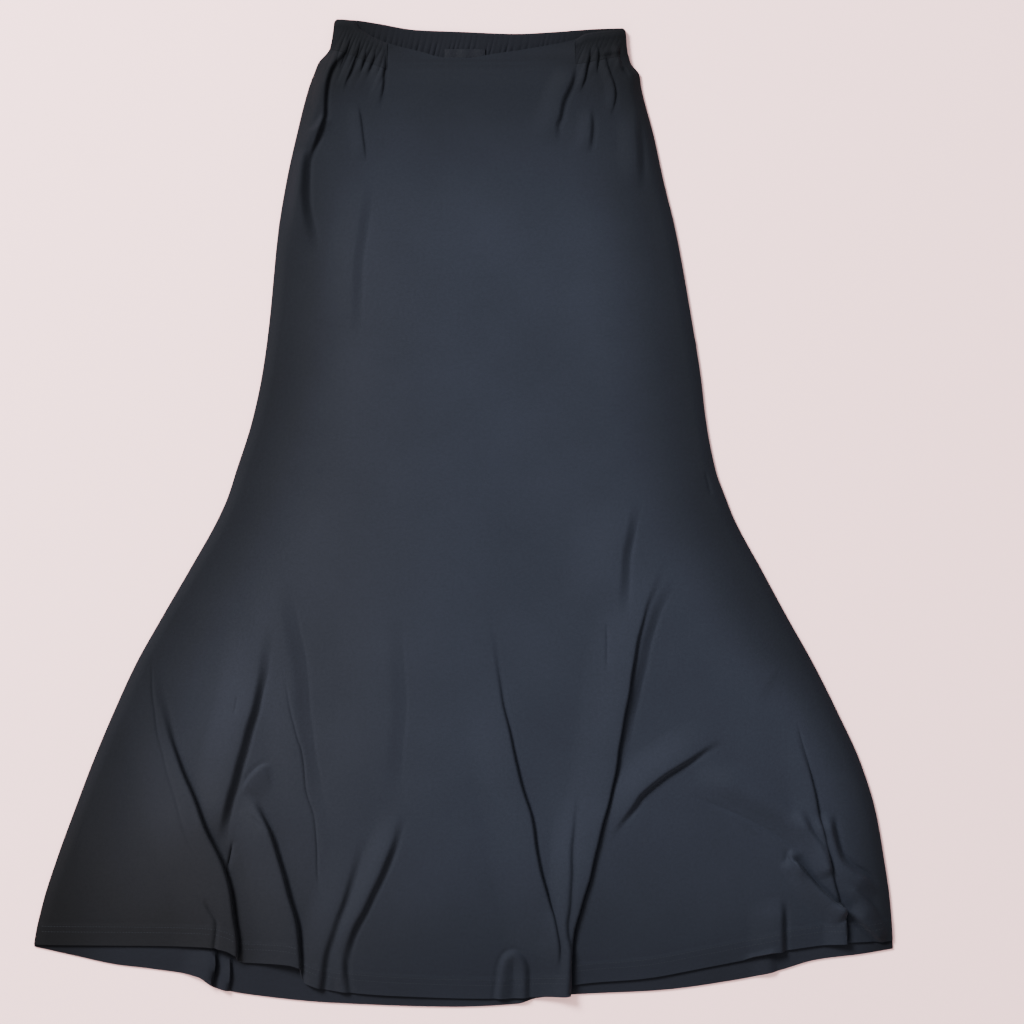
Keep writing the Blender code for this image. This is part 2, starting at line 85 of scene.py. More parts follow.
# large folds; the solids have nearly all of them too, some a little higher
folds = [foldRow(*row) for row in (
    ("leftLap", 1, 40, 60, 10, 8.8, 0.9, 0.5, 0,
     ((-318, 660), (-309, 710), (-298, 754), (-272, 828), (-246, 888), (-236, 945), (-234, 1000))),
    ("leftValley", 1, 40, 34, 11, 6.6, 0.4, 0.45, 0.2,
     ((-194, 620), (-200, 650), (-206, 684), (-213, 716), (-223, 752), (-236, 796), (-243, 828),
      (-246, 862))),
    ("leftPinch", 1, 24, 24, 4, 2.4, 0.3, 0.3, 0.35,
     ((-233, 806), (-227, 793), (-219, 782), (-209, 774), (-196, 771))),
    ("secondLap", 1, 22, 46, 10, 8.0, 0.85, 0.25, 0,
     ((-224, 795), (-212, 812), (-204, 832), (-194, 862), (-181, 905), (-170, 955), (-167, 1012))),
    ("leftGroove", 1, 34, 34, 17, 2.9, 0.1, 0.3, 0.4,
     ((-187, 567), (-172, 628), (-163, 682), (-157, 749), (-147, 802), (-137, 863))),
    ("tongueLeft", 1, 30, 30, 9, 4.6, 0.4, 0.5, 0,
     ((-99, 845), (-113, 893), (-127, 933), (-140, 976), (-147, 1020))),
    ("tongueRight", 1, 24, 16, 9, 5.4, 0.4, 0.3, 0.4,
     ((-57, 820), (-70, 860), (-85, 893), (-100, 925), (-113, 953), (-120, 985), (-119, 1020))),
    ("tongueFoot", 1, 10, 12, 6, 2.6, 0.1, 0.4, 0, ((-121, 966), (-121, 990), (-116, 1022))),
    ("centreCrease", 1, 40, 50, 6, 4.6, 0.9, 0.5, 0.1,
     ((28, 603), (38, 682), (54, 768), (71, 832), (76, 862), (81, 887), (88, 915), (92, 931),
      (94, 950), (95, 970), (94, 1000))),
    ("hemArch", 1, 13, 11, 6, 2.7, 0.1, 0, 0,
     ((32, 1030), (34, 1000), (36, 983), (41, 971), (51, 965), (61, 970), (67, 983), (68, 1005),
      (68, 1030))),
    ("rightGroove", 1, 22, 12, 4, 3.0, 0.3, 0.4, 0,
     ((119, 790), (114, 832), (110, 866), (108, 889), (105, 919), (103, 935), (103, 950),
      (105, 967), (103, 1010))),
    ("rightLap", 1, 50, 30, 8, 6.0, 1.25, 0.35, 0,
     ((216, 551), (205, 580), (191, 614), (173, 682), (155, 786), (131, 884), (113, 954),
      (110, 1012))),
    ("rightSlope", 1, 50, 30, 11, 3.2, 0, 0.3, 0.5,
     ((224, 575), (202, 620), (185, 686), (174, 740), (166, 790))),
    ("kneeCrease", 1, 60, 60, 10, 3.4, 0.15, 0.4, 0.35,
     ((184, 496), (175, 543), (170, 584), (166, 625))),
    ("curvedLap", 1, 34, 34, 7, 6.0, 0.35, 0.4, 0.4,
     ((277, 747), (246, 764), (210, 786), (188, 804), (180, 816), (165, 838), (153, 858))),
    ("curvedRidge", -1, 30, 20, 22, 5.0, 0, 0.3, 0.3,
     ((230, 802), (273, 818), (309, 836), (345, 858), (363, 872))),
    ("cornerLine", 1, 26, 24, 5, 3.6, 0.6, 0.45, 0.1,
     ((345, 725), (355, 765), (365, 800), (377, 865), (396, 930))),
    ("cornerCrease", 1, 18, 14, 7, 4.8, 0.3, 0.3, 0.15,
     ((350, 815), (362, 842), (374, 865), (383, 890))),
    ("cornerBend", 1, 22, 30, 9, 6.6, 0.3, 0.2, 0.3,
     ((384, 820), (388, 848), (394, 868), (406, 880), (420, 888), (438, 903))),
    ("cornerBand", 1, 16, 20, 6, 2.6, 0.3, 0.35, 0.4,
     ((396, 892), (410, 904), (424, 917), (440, 938))),
    ("cornerUnder", -1, 18, 14, 7, 5.0, 0.3, 0.3, 0.3,
     ((397, 928), (408, 936), (420, 948), (438, 966))),
    ("cornerFlap", 1, 14, 18, 7, 7.4, 0.7, 0.15, 0.1,
     ((340, 866), (352, 881), (366, 898), (382, 914), (397, 927))),
    ("cornerNub", -1, 12, 12, 6, 3.6, 0.4, 0.2, 0.5,
     ((336, 860), (337, 874), (342, 888), (350, 900))),
    ("cornerPleat", 1, 34, 34, 8, 4.6, 0.3, 0.35, 0,
     ((334, 908), (335, 932), (334, 985))),
    ("cornerEnd", 1, 18, 22, 4, 6.2, 0.7, 0.2, 0,
     ((393, 916), (395, 935), (396, 970))),
    ("centreSwell", 1, 60, 60, 16, 1.6, 0, 0.35, 0.35,
     ((-68, 600), (-62, 680), (-62, 734), (-70, 830))),
    ("hipSwell", 1, 30, 34, 10, 1.5, 0, 0.3, 0.4,
     ((-94, 165), (-100, 214), (-106, 267), (-109, 345))),
    ("waistGroove", 1, 18, 22, 5, 3.6, 0.4, 0.15, 0.2,
     ((-118, 30), (-129, 44), (-137, 56), (-141, 81), (-143, 106), (-153, 130), (-159, 150))),
    ("sideFall", 1, 22, 28, 10, 4.8, 0.1, 0.15, 0.5,
     ((-157, 134), (-160, 157), (-159, 196), (-154, 222), (-148, 246))),
    ("waistBulge", -1, 12, 12, 6, 2.0, 0.2, 0.3, 0.4, ((-148, 96), (-156, 110), (-164, 116))),
    ("gatherA", 1, 7, 9, 2.4, 2.0, 0.5, 0.3, 0.4,
     ((-106, 20), (-110, 34), (-115, 50), (-120, 64), (-122, 76))),
    ("gatherB", 1, 5, 6, 2.2, 1.6, 0.4, 0.3, 0.3, ((-117, 18), (-121, 32), (-126, 46), (-130, 56))),
    ("gatherC", 1, 10, 14, 3.4, 2.0, 0.3, 0.3, 0.5,
     ((-80, 30), (-80, 44), (-81, 60), (-83, 78), (-87, 97))),
    ("gatherD", 1, 14, 16, 3, 1.3, 0.3, 0.3, 0.3, ((-108, 86), (-105, 112), (-99, 150))),
    ("gatherE", 1, 20, 26, 5.5, 2.7, 0.2, 0.25, 0.4,
     ((120, 48), (115, 67), (106, 87), (102, 102), (99, 112), (101, 132))),
    ("gatherF", 1, 8, 9, 2.6, 2.2, 0.4, 0.3, 0.35, ((133, 28), (130, 44), (127, 61), (121, 79))),
    ("gatherG", 1, 6, 7, 2.4, 1.9, 0.4, 0.3, 0.4, ((140, 26), (140, 42), (140, 60))),
    ("gatherH", 1, 8, 10, 2.6, 2.2, 0.4, 0.3, 0.45,
     ((147, 32), (151, 52), (156, 68), (157, 84), (153, 106))),
    ("gatherI", 1, 14, 16, 5, 2.2, 0.2, 0.4, 0.4, ((134, 90), (135, 112), (134, 142))),
    ("gatherJ", 1, 6, 7, 3, 1.8, 0.2, 0.3, 0.4, ((162, 24), (163, 40), (167, 56))),
    ("gatherK", 1, 5, 6, 2.0, 1.2, 0.3, 0.3, 0.4, ((-100, 32), (-103, 43), (-106, 58))),
    ("gatherL", 1, 5, 6, 2.0, 1.2, 0.3, 0.3, 0.4, ((-90, 34), (-94, 45), (-99, 60))),
    ("sideGroove", 1, 20, 22, 8, 2.6, 0, 0.4, 0.4, ((184, 84), (186, 130), (187, 184))),
)]
# thin creases and soft swells that only show on the cloth's face
fineFolds = [foldRow(*row) for row in (
    ("creaseA", 1, 2.5, 3, 0, -0.9, 0, 0.2, 0.3,
     ((-324, 653), (-321, 731), (-314, 767), (-298, 831), (-283, 866), (-257, 897))),
    ("creaseC", 1, 2.0, 2.5, 0, -0.7, 0, 0.3, 0.3, ((-236, 700), (-239, 722))),
    ("creaseE", 1, 2.2, 2.6, 0, -1.2, 0, 0.3, 0.15,
     ((-189, 668), (-174, 740), (-168, 760), (-162, 802), (-154, 836), (-149, 912))),
    ("creaseN", 1, 2.2, 2.4, 0, -0.8, 0, 0.3, 0.3, ((148, 622), (147, 650), (146, 680))),
    ("creaseR", 1, 2.2, 2.4, 0, -0.8, 0, 0.2, 0.2,
     ((345, 725), (355, 761), (363, 801), (372, 842))),
    ("creaseD", 1, 2.0, 2.4, 0, -0.7, 0, 0.3, 0.3, ((-222, 827), (-214, 842))),
    ("edgeCrease", 1, 3.0, 4.0, 0, -1.0, 0, 0.3, 0.5, ((250, 467), (258, 500))),
    ("flapCrease", 1, 3.6, 3.6, 0, -2.4, 0, 0.25, 0,
     ((-274, 910), (-269, 922), (-262, 935), (-262, 948), (-265, 975))),
    ("hemGape", 1, 14, 14, 0, 4.5, 0.6, 0.35, 0.3, ((290, 984), (312, 979), (332, 973))),
    ("creaseB", 1, 3.0, 3.0, 0, -2.6, 0, 0.3, 0.2, ((-238, 850), (-243, 870), (-248, 896))),
    ("sidePinch", 1, 4, 4, 0, -1.6, 0, 0.3, 0.5, ((164, 50), (170, 57), (175, 60))),
    ("footShade", -1, 7, 7, 4, 0.9, 0, 0.3, 0.3, ((141, 42), (150, 39), (163, 38))),
)]
backFolds = [foldRow(*row) for row in (
    ("backWaveA", 1, 28, 36, 5, 7.5, 0.6, 0.5, 0, ((-252, 950), (-257, 972), (-264, 1020))),
    ("backWaveB", 1, 9, 11, 4, 5.5, 0.5, 0.5, 0, ((-239, 960), (-241, 980), (-245, 1024))),
    ("backWaveC", 1, 10, 12, 0, 2.0, 0, 0.6, 0, ((60, 1012), (64, 1030))),
    ("backWaveD", 1, 18, 22, 10, 3.0, 0.2, 0.5, 0, ((322, 950), (326, 975), (330, 1000))),
)]


def smooth(share):
    share = np.clip(share, 0.0, 1.0)
    return share * share * (3 - 2 * share)


def through(rows, key, value, at):  # a smooth curve through a table that never swings past it
    keys = np.array([getattr(row, key) for row in rows], float)
    values = np.array([getattr(row, value) for row in rows], float)
    steps = np.diff(keys)
    slopes = np.diff(values) / steps
    tangents = np.zeros(len(keys))
    tangents[0], tangents[-1] = slopes[0], slopes[-1]
    sameWay = slopes[1:] * slopes[:-1] > 0
    total = np.where(sameWay, slopes[1:] + slopes[:-1], 1.0)
    tangents[1:-1] = np.where(sameWay, 2 * slopes[1:] * slopes[:-1] / total, 0.0)
    at = np.clip(at, keys[0], keys[-1])
    row = np.clip(np.searchsorted(keys, at) - 1, 0, len(steps) - 1)
    t = (at - keys[row]) / steps[row]
    return (
        values[row] * (1 + 2 * t) * (1 - t) ** 2
        + values[row + 1] * t * t * (3 - 2 * t)
        + tangents[row] * steps[row] * t * (1 - t) ** 2
        + tangents[row + 1] * steps[row] * t * t * (t - 1)
    )


def side(down, which):
    return through(sections, "down", which, down)


def roundedPath(path, steps=6):
    points = [np.array(point, float) for point in path]
    points = [2 * points[0] - points[1]] + points + [2 * points[-1] - points[-2]]
    found = []
    for before, here, after, last in zip(points, points[1:], points[2:], points[3:]):
        for step in range(steps):
            t = step / steps
            found.append(0.5 * (2 * here + (after - before) * t
                                + (2 * before - 5 * here + 4 * after - last) * t ** 2
                                + (3 * here - before - 3 * after + last) * t ** 3))
    found.append(points[-2])
    return np.array(found)


def beside(path, x, down):  # distance from a path, share along it, and the way across it
    points = roundedPath(path)
    lengths = np.hypot(*np.diff(points, axis=0).T)
    starts = np.concatenate([[0], np.cumsum(lengths)])
    nearest = np.full(x.shape, np.inf)
    away, share = np.zeros(x.shape), np.zeros(x.shape)
    crossX, crossDown = np.zeros(x.shape), np.zeros(x.shape)
    for start, stop, length, before in zip(points, points[1:], lengths, starts):
        alongX, alongDown = (stop - start) / length
        reach = np.clip((x - start[0]) * alongX + (down - start[1]) * alongDown, 0, length)
        offX = x - start[0] - reach * alongX
        offDown = down - start[1] - reach * alongDown
        distance = np.hypot(offX, offDown)
        closer = distance < nearest
        sign = np.where(alongDown * offX - alongX * offDown < 0, -1.0, 1.0)
        nearest = np.where(closer, distance, nearest)
        away = np.where(closer, sign * distance, away)
        share = np.where(closer, (before + reach) / starts[-1], share)
        crossX = np.where(closer, alongDown, crossX)
        crossDown = np.where(closer, -alongX, crossDown)
    return away, share, crossX, crossDown


# how far a fold's line strays from its path, and how the cloth dips where a fold comes down
crease = {"slowWander": 0.5, "quickWander": 0.2, "dip": 0.2, "dipAway": 1.5, "dipWidth": 2.4}


def folded(rows, x, down):  # how far the folds lift the cloth and push it sideways
    lift, pushX, pushDown = np.zeros(x.shape), np.zeros(x.shape), np.zeros(x.shape)
    wander = (crease["slowWander"] * np.sin(down / 14.0 + x / 31.0)
              + crease["quickWander"] * np.sin(down / 6.5 - x / 17.0 + 1.0))
    for row in rows:
        reach = max(row.reachTop, row.reachEnd) + row.steep
        lows = np.min(row.path, axis=0) - reach
        highs = np.max(row.path, axis=0) + reach
        near = (x > lows[0]) & (x < highs[0]) & (down > lows[1]) & (down < highs[1])
        if not near.any():
            continue
        away, share, crossX, crossDown = beside(row.path, x[near], down[near])
        away = away * row.side + wander[near]
        width = row.reachTop + (row.reachEnd - row.reachTop) * share
        if row.steep:
            form = np.where(away > -row.steep, smooth(-away / row.steep),
                            1 - smooth((-away - row.steep) / width))
        else:
            form = 1 - smooth(np.abs(away) / width)
        ends = 1.0
        if row.fadeIn:
            ends = ends * smooth(share / row.fadeIn)
        if row.fadeOut:
            ends = ends * smooth((1 - share) / row.fadeOut)
        form = form * ends
        lift[near] += row.height * form
        if row.steep:
            dip = np.exp(-((away - crease["dipAway"]) / crease["dipWidth"]) ** 2)
            lift[near] -= crease["dip"] * row.height * ends * dip
        push = row.side * row.lean * row.height * form
        pushX[near] += push * crossX
        pushDown[near] += push * crossDown
    return lift, pushX, pushDown


# how uneven the gathers' spacing is, and how broad their crests are, below 1 broader
pucker = {"slowWander": 0.35, "quickWander": 0.22, "crest": 0.6}


def puckers(x, pitch):  # uneven gathers over elastic, 0 in a furrow and 1 on a crest
    wander = pucker["slowWander"] * np.sin(x / 19.0) + pucker["quickWander"] * np.sin(x / 7.7 + 1.0)
    return (0.5 + 0.5 * np.sin(2 * math.pi * (x / pitch + wander))) ** pucker["crest"]


# shares of three slow waves, and the lengths over which each turns by one radian
waves = {"wide": 0.40, "wideLength": 23.0, "long": 0.35, "longLength": 37.0,
         "slant": 0.25, "slantLength": 29.0}


def ripple(x, down):  # the cloth never lies quite level: slow, shallow, uneven
    wide = np.sin(x / waves["wideLength"] + 1.3 * np.sin(down / 61.0))
    long = np.sin(down / waves["longLength"] + 0.9 * np.sin(x / 47.0 + 0.6))
    slant = np.sin((x + 0.6 * down) / waves["slantLength"] + 2.1)
    return waves["wide"] * wide + waves["long"] * long + waves["slant"] * slant


def clearSelection():
    bpy.ops.object.select_all(action="DESELECT")


def makeGrid(name, columns, rows):  # a flat grid; returns it with u across and v down
    clearSelection()
    bpy.ops.mesh.primitive_grid_add(x_subdivisions=columns, y_subdivisions=rows, size=1)
    cloth = bpy.context.active_object
    cloth.name = name
    cloth.data.name = name
    flat = np.empty(len(cloth.data.vertices) * 3, np.float32)
    cloth.data.vertices.foreach_get("co", flat)
    flat = flat.reshape(-1, 3).astype(float)
    return cloth, flat[:, 0] + 0.5, 0.5 - flat[:, 1]


def placePoints(cloth, x, down, z):
    points = np.stack([x, middleDown - down, z], axis=1) * mm
    cloth.data.vertices.foreach_set("co", points.astype(np.float32).ravel())
    cloth.data.update()


# painted shade and painted warm light: the cloth's colour is darkened towards the sides, waist, hem
# and lower left corner, where less light falls, and warmed on the left, where the warm fill light
# falls.
# A name with Down is where a change starts, and one with Width how far it takes
dye = {
    "side": 0.41, "sideWidth": 110.0,
    "waist": 0.42, "waistDown": 20.0, "waistWidth": 220.0,
    "belowWaist": 0.28, "belowDown": 50.0, "belowWidth": 40.0, "belowEnd": 200.0,
    "belowEndWidth": 90.0, "belowSideWidth": 35.0,
    "hips": 0.96, "hipsDown": 350.0, "hipsWidth": 250.0,
    "hem": 0.37, "hemDown": 820.0, "hemWidth": 180.0,
    "flareNarrow": 0.52, "flareDown": 600.0, "flareWidth": 150.0, "flareX": 100.0,
    "corner": 0.35, "cornerDown": 700.0, "cornerWidth": 250.0, "cornerX": 120.0,
    "cornerWidthX": 200.0, "cornerWarmLight": 0.6,
    "leftWarmLight": 0.4, "leftX": -170.0, "leftWidthX": 200.0, "leftDown": 60.0, "leftWidth": 250.0,
    "cool": (1.0, 0.98, 1.0), "warm": (1.14, 0.96, 0.80),
}


def rising(at, key, width):  # 0 before a change of the painted light, 1 after it
    return smooth((at - dye[key]) / dye[width])


# painted shade and painted warm light: the first value returned darkens the colour as painted
# shade, the second tints it warm as painted light
def paintedLightAt(x, down, paintedShare=1.0):
    left, right = side(down, "left"), side(down, "right")
    fromSide = np.minimum(x - left, right - x)
    corner = paintedShare * rising(down, "cornerDown", "cornerWidth")
    corner = corner * rising(-x, "cornerX", "cornerWidthX")
    flare = dye["flareNarrow"] * rising(down, "flareDown", "flareWidth")
    narrow = 1 - flare * smooth(x / dye["flareX"])
    below = rising(down, "belowDown", "belowWidth")
    below = below * smooth((dye["belowEnd"] - down) / dye["belowEndWidth"])
    below = below * smooth(fromSide / dye["belowSideWidth"])
    least = dye["side"] + dye["belowWaist"] * below
    depth = least + (1 - least) * smooth(fromSide / (dye["sideWidth"] * narrow))
    depth = depth * (dye["waist"] + (1 - dye["waist"]) * rising(down, "waistDown", "waistWidth"))
    depth = depth * (dye["hips"] + (1 - dye["hips"]) * rising(down, "hipsDown", "hipsWidth"))
    depth = depth * (1 - dye["hem"] * rising(down, "hemDown", "hemWidth"))
    depth = depth * (1 - dye["corner"] * corner)
    paintedWarmLight = dye["leftWarmLight"] * (1 - rising(x, "leftX", "leftWidthX"))
    paintedWarmLight = paintedWarmLight * rising(down, "leftDown", "leftWidth") + dye["cornerWarmLight"] * corner
    return depth, paintedWarmLight * paintedShare


def setWeave(cloth, x, down, depth, paintedWarmLight):
    # the cloth's own coordinates, in metres as it is cut, and its painted shade and painted warm
    # light
    pointOf = np.empty(len(cloth.data.loops), np.int32)
    cloth.data.loops.foreach_get("vertex_index", pointOf)
    cloth.data.uv_layers.active.name = "weave"
    cloth.data.uv_layers.new(name="dye")
    for layer, first, second in (("weave", x * mm, -down * mm), ("dye", depth, paintedWarmLight)):
        pairs = np.stack([first[pointOf], second[pointOf]], axis=1)
        cloth.data.uv_layers[layer].data.foreach_set("uv", pairs.astype(np.float32).ravel())


def applyModifiers(cloth):
    clearSelection()
    cloth.select_set(True)
    bpy.context.view_layer.objects.active = cloth
    for modifier in list(cloth.modifiers):
        bpy.ops.object.modifier_apply(modifier=modifier.name)


def shadeRound(cloth, degrees=62):
    clearSelection()
    cloth.select_set(True)
    bpy.context.view_layer.objects.active = cloth
    bpy.ops.object.shade_smooth_by_angle(angle=math.radians(degrees))


def giveWall(cloth, thickness, share=None):  # fewer faces where it is plain, then a thickness
    weld = cloth.modifiers.new("joined points", "WELD")
    weld.merge_threshold = 0.00002  # metres
    if share:
        fewer = cloth.modifiers.new("fewer faces", "DECIMATE")
        fewer.ratio = share
    wall = cloth.modifiers.new("wall", "SOLIDIFY")
    wall.thickness = thickness * mm
    wall.offset = 1.0
    wall.use_even_offset = False
    applyModifiers(cloth)


def addNode(tree, kind, **values):
    node = tree.nodes.new(kind)
    for key, value in values.items():
        if key in node.inputs:
            node.inputs[key].default_value = value
        else:
            setattr(node, key, value)
    return node


# the yarn and the knit: scales of their patterns, and shares in the tone and the relief
knit = {
    "cloud": 9.0, "slub": 330.0, "pebble": 950.0,
    "cloudTone": 0.32, "slubTone": 0.33, "pebbleTone": 0.35, "darkAt": 0.30, "lightAt": 0.72,
    "loopsAcross": 390.0, "loopsAlong": 430.0, "slubRelief": 1.6, "yarnRelief": 0.5,
    "bump": 0.45, "bumpDistance": 0.00028, "roughnessSpread": 0.06,
    "sheenRoughness": 0.45, "sheenTint": (0.62, 0.70, 0.86), "shine": 0.07,
}


def crepe(name, look):  # stretch crepe: fine knit loops, pebbled yarn, slow random changes of tone, and painted shade and painted warm light
    material = bpy.data.materials.new(name)
    material.use_nodes = True
    tree = material.node_tree
    shader = tree.nodes["Principled BSDF"]
    link = tree.links.new
    place = addNode(tree, "ShaderNodeUVMap", uv_map="weave")

    def noise(scale, detail, rough):
        made = addNode(tree, "ShaderNodeTexNoise", Scale=scale, Detail=detail, Roughness=rough)
        link(place.outputs["UV"], made.inputs["Vector"])
        return made.outputs[0]

    def bands(scale, distortion, direction):
        made = addNode(tree, "ShaderNodeTexWave", Scale=scale, Distortion=distortion, Detail=1.0)
        made.bands_direction = direction
        link(place.outputs["UV"], made.inputs["Vector"])
        return made.outputs["Fac"]

    def blend(first, second, share):  # first * share + second
        made = addNode(tree, "ShaderNodeMath", operation="MULTIPLY_ADD")
        made.inputs[1].default_value = share
        link(first, made.inputs[0])
        link(second, made.inputs[2])
        return made.outputs[0]

    cloud = noise(knit["cloud"], 4.0, 0.55)
    slub = noise(knit["slub"], 2.0, 0.6)
    pebble = noise(knit["pebble"], 2.0, 0.7)
    quiet = addNode(tree, "ShaderNodeMath", operation="MULTIPLY")
    quiet.inputs[1].default_value = knit["cloudTone"]
    link(cloud, quiet.inputs[0])
    tone = addNode(tree, "ShaderNodeValToRGB")
    tone.color_ramp.elements[0].position = knit["darkAt"]
    tone.color_ramp.elements[0].color = (*look["dark"], 1)
    tone.color_ramp.elements[1].position = knit["lightAt"]
    tone.color_ramp.elements[1].color = (*look["color"], 1)
    yarn = blend(slub, quiet.outputs[0], knit["slubTone"])
    link(blend(pebble, yarn, knit["pebbleTone"]), tone.inputs[0])

    # painted shade and painted warm light from the cloth's map: X darkens the base colour, Y tints
    # it warm
    paintedLightMap = addNode(tree, "ShaderNodeUVMap", uv_map="dye")
    parts = addNode(tree, "ShaderNodeSeparateXYZ")
    link(paintedLightMap.outputs["UV"], parts.inputs[0])
    paintedWarmLight = addNode(tree, "ShaderNodeMix", data_type="RGBA")
    link(parts.outputs["Y"], paintedWarmLight.inputs["Factor"])
    paintedWarmLight.inputs[6].default_value = (*dye["cool"], 1)
    paintedWarmLight.inputs[7].default_value = (*dye["warm"], 1)
    tinted = addNode(tree, "ShaderNodeVectorMath", operation="MULTIPLY")
    link(tone.outputs[0], tinted.inputs[0])
    link(paintedWarmLight.outputs[2], tinted.inputs[1])
    deep = addNode(tree, "ShaderNodeVectorMath", operation="SCALE")
    link(tinted.outputs[0], deep.inputs[0])
    link(parts.outputs["X"], deep.inputs["Scale"])
    link(deep.outputs[0], shader.inputs["Base Color"])

    loops = blend(bands(knit["loopsAcross"], 2.2, "X"), bands(knit["loopsAlong"], 3.0, "Y"), 1.0)
    relief = blend(loops, blend(slub, pebble, knit["slubRelief"]), knit["yarnRelief"])
    bump = addNode(tree, "ShaderNodeBump", Strength=knit["bump"], Distance=knit["bumpDistance"])
    link(relief, bump.inputs["Height"])
    link(bump.outputs[0], shader.inputs["Normal"])

    rough = addNode(tree, "ShaderNodeMapRange")
    rough.inputs["To Min"].default_value = look["roughness"] - knit["roughnessSpread"]
    rough.inputs["To Max"].default_value = look["roughness"] + knit["roughnessSpread"]
    link(pebble, rough.inputs["Value"])
    link(rough.outputs[0], shader.inputs["Roughness"])
    shader.inputs["Sheen Weight"].default_value = look["sheen"]
    shader.inputs["Sheen Roughness"].default_value = knit["sheenRoughness"]
    shader.inputs["Sheen Tint"].default_value = (*knit["sheenTint"], 1)
    shader.inputs["Specular IOR Level"].default_value = knit["shine"]
    return material


def thread(name, look):
    material = bpy.data.materials.new(name)
    material.use_nodes = True
    tree = material.node_tree
    shader = tree.nodes["Principled BSDF"]
    place = addNode(tree, "ShaderNodeTexCoord")
    twist = addNode(tree, "ShaderNodeTexNoise", Scale=look["twist"], Detail=1.0)
    tree.links.new(place.outputs["Object"], twist.inputs["Vector"])
    tone = addNode(tree, "ShaderNodeValToRGB")
    tone.color_ramp.elements[0].color = (*[c * look["darker"] for c in look["color"]], 1)
    tone.color_ramp.elements[1].color = (*[c * look["lighter"] for c in look["color"]], 1)
    tree.links.new(twist.outputs[0], tone.inputs[0])
    tree.links.new(tone.outputs[0], shader.inputs["Base Color"])
    shader.inputs["Roughness"].default_value = look["roughness"]
    shader.inputs["Specular IOR Level"].default_value = look["shine"]
    return material


# the grids: how far down the columns stand upright, over what share of the width at each
# side, the place where the search for an edge starts, and how often it is repeated
grid = {"uprightTo": 58.0, "sideShare": 0.18, "edgeStart": 48.0, "passes": 8}


def across(u, down):  # the grid's columns stand upright past the casings
    below = np.maximum(down, grid["uprightTo"])
    left, right = side(below, "left"), side(below, "right")
    x = left * (1 - u) + right * u
    return (x + (side(down, "left") - left) * (1 - smooth(u / grid["sideShare"]))
            + (side(down, "right") - right) * (1 - smooth((1 - u) / grid["sideShare"])))


def edgeAt(rows, x):  # how far down an edge is at a place across the skirt
    return through(rows, "x", "down", x)


def downEdge(u, edge):
    down = np.full(u.shape, grid["edgeStart"])
    for _ in range(grid["passes"]):
        down = edge(across(u, down))
    return down


def panelPoints(u, v, topEdge, hemTable):  # level rows, which end at the waist edge
    hem = downEdge(u, lambda x: edgeAt(hemTable, x))
    top = downEdge(u, topEdge)
    start = float(top.min())
    down = np.maximum(start + (hem - start) * v, top)
    return across(u, down), down, hem


roll = {"width": 15.0, "roundness": 2.4}  # how the cloth rounds down to its side edges


def rolled(fromSide):
    return 1 - (1 - np.clip(fromSide / roll["width"], 0, 1)) ** roll["roundness"]


# The front, cut in one, with its folds
front = {
    "columns": 700,
    "rows": 620,
    "facesKept": 0.108,
    "thickness": 1.2,      # mm, like every length here
    "clearance": 1.75,     # inner face over the floor
    "backHeight": 1.4,     # what the clearance already counts for the back below
    "casingFoot": 48.0,    # from here down, the front comes off the back's casing
    "sideSlope": 14.0,     # how far that takes at the sides
    "middleSlope": 50.0,   # and how much more in the middle
    "heldWidth": 15.0,     # how near the side seams hold the folds down
    "sideDrop": 0.5,       # how much lower it lies along a side seam
    "dropWidth": 12.0,
    "dropDown": 60.0,      # where the drop starts, below the waist
    "dropFade": 20.0,
    "tipLess": 0.6,        # the share of the drop that is lost at the hem's tips
    "tipDown": 930.0,
    "tipFade": 8.0,
    "hemLoft": 0.45,       # how much of its fullness is left at the hem
    "hemLoftWidth": 30.0,
    "hemTurn": 21.0,       # depth of the turned-up hem
    "hemStep": 0.35,       # how much the turned-up hem stands proud
    "hemStepWidth": 1.5,
    "ripple": 0.55,
    "rippleDown": 60.0,
    "rippleFade": 60.0,
    "color": (0.0116, 0.0141, 0.0210),
    "dark": (0.0073, 0.0089, 0.0134),
    "roughness": 0.78,
    "sheen": 0.03,
}
casing = {
    "backTop": 3.0, "deep": 30.0, "frontThickness": 2.0, "over": 0.15,
    "leftEnd": -79.0, "rightEnd": 116.0, "endGap": 0.05, "sideGap": 0.3, "footGap": 0.05,
    "columns": 200, "rows": 110, "leftCorner": 5.0, "rightCorner": 3.0, "passes": 6,
    "fullness": 1.6,       # length of cloth gathered into each length of casing
    "welt": 0.5, "weltDown": 6.0, "weltWidth": 3.0,  # the ridge below its top edge
    "topDrop": 0.9, "topWidth": 3.0,                 # how its top edge rounds off
    # painted shade: the casings' crepe is a darker copy of the front's, for the shade it lies in at
    # the waist
    "color": (0.0098, 0.0118, 0.0174), "dark": (0.0059, 0.0071, 0.0106),
    "roughness": 0.8, "sheen": 0.025,
}
# the elastic's gathers: close together in a casing, wider just below it
gathers = {
    "fine": 4.4, "fineHeight": 0.9, "fineAbove": 13.0, "fineSpread": 9.0,
    "wide": 7.1, "wideHeight": 1.8, "wideAbove": 19.0, "wideFadeIn": 15.0,
    "wideBelow": 3.0, "wideFadeOut": 11.0,
    "lean": 0.42, "rightHeight": 0.38, "endFade": 8.0, "level": 0.6,
}


def frontTop(x):
    free = edgeAt(frontWaist, x)
    left = edgeAt(leftFoot, x) + casing["footGap"]
    right = edgeAt(rightFoot, x) + casing["footGap"]
    free = np.where(x < casing["leftEnd"] + casing["sideGap"], left, free)
    return np.where(x > casing["rightEnd"] - casing["sideGap"], right, free)


